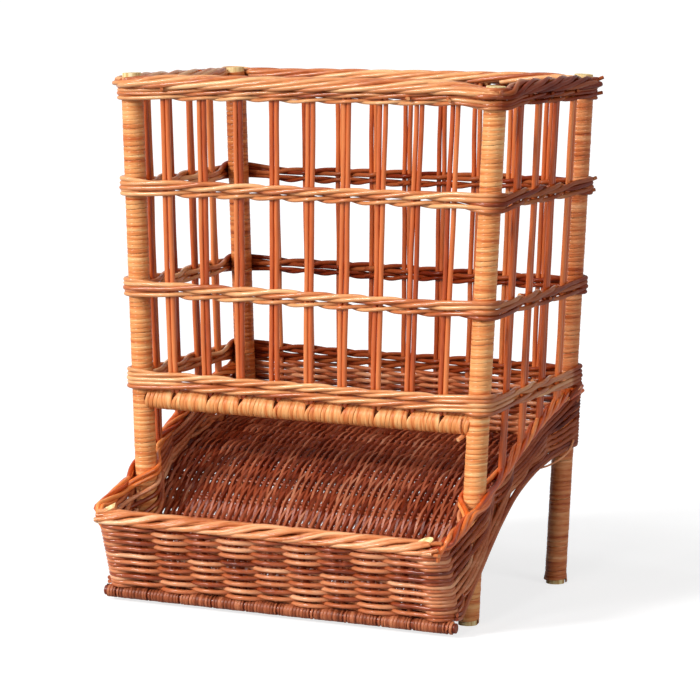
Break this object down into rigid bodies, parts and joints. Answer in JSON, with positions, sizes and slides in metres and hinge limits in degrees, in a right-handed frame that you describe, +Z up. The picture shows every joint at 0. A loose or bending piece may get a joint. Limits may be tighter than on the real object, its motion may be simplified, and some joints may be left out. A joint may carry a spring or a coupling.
{
  "type": "wicker bread bin",
  "caption": "Free-standing woven willow bread bin on wrapped posts: an open staked cage over a sloping chute that feeds a low front tray.",
  "frame": {"origin": "on the floor, under the middle of the overall width and depth", "axes": "+Z up, +Y towards the back, +X to the right when looking at the tray from the front"},
  "size_m": [0.5552, 0.4351, 0.6699],
  "materials": {
    "willow_pole": "peeled willow pole, varnished",
    "willow_skein": "split willow skein, varnished",
    "willow_rod": "buff willow rod, varnished",
    "willow_weave": "woven buff willow, varnished",
    "steel_nail": "bare wire nail"
  },
  "bodies": {
    "root": {"front_left_post": "willow_pole", "front_left_post_skein": "willow_skein", "front_right_post": "willow_pole", "front_right_post_skein": "willow_skein", "back_left_post": "willow_pole", "back_left_post_skein": "willow_skein", "back_right_post": "willow_pole", "back_right_post_skein": "willow_skein", "front_rail": "willow_pole", "bottom_bar": "willow_pole", "front_rail_skein": "willow_skein", "bottom_bar_skein": "willow_skein", "front_rail_nails": "steel_nail", "front_stakes": "willow_rod", "back_stakes": "willow_rod", "left_stakes": "willow_rod", "right_stakes": "willow_rod", "tray_front_stakes": "willow_rod", "tray_left_stakes": "willow_rod", "tray_right_stakes": "willow_rod", "tray_left_corner_stick": "willow_rod", "tray_right_corner_stick": "willow_rod", "floor_sticks": "willow_rod", "lower_wale": "willow_weave", "middle_wale": "willow_weave", "upper_wale": "willow_weave", "top_wale": "willow_weave", "top_border": "willow_weave", "tray_border": "willow_weave", "left_side_border": "willow_weave", "right_side_border": "willow_weave", "tray_front_wall": "willow_weave", "tub_left_wall": "willow_weave", "tub_right_wall": "willow_weave", "tub_back_wall": "willow_weave", "tub_floor": "willow_weave"}
  },
  "joints": []
}
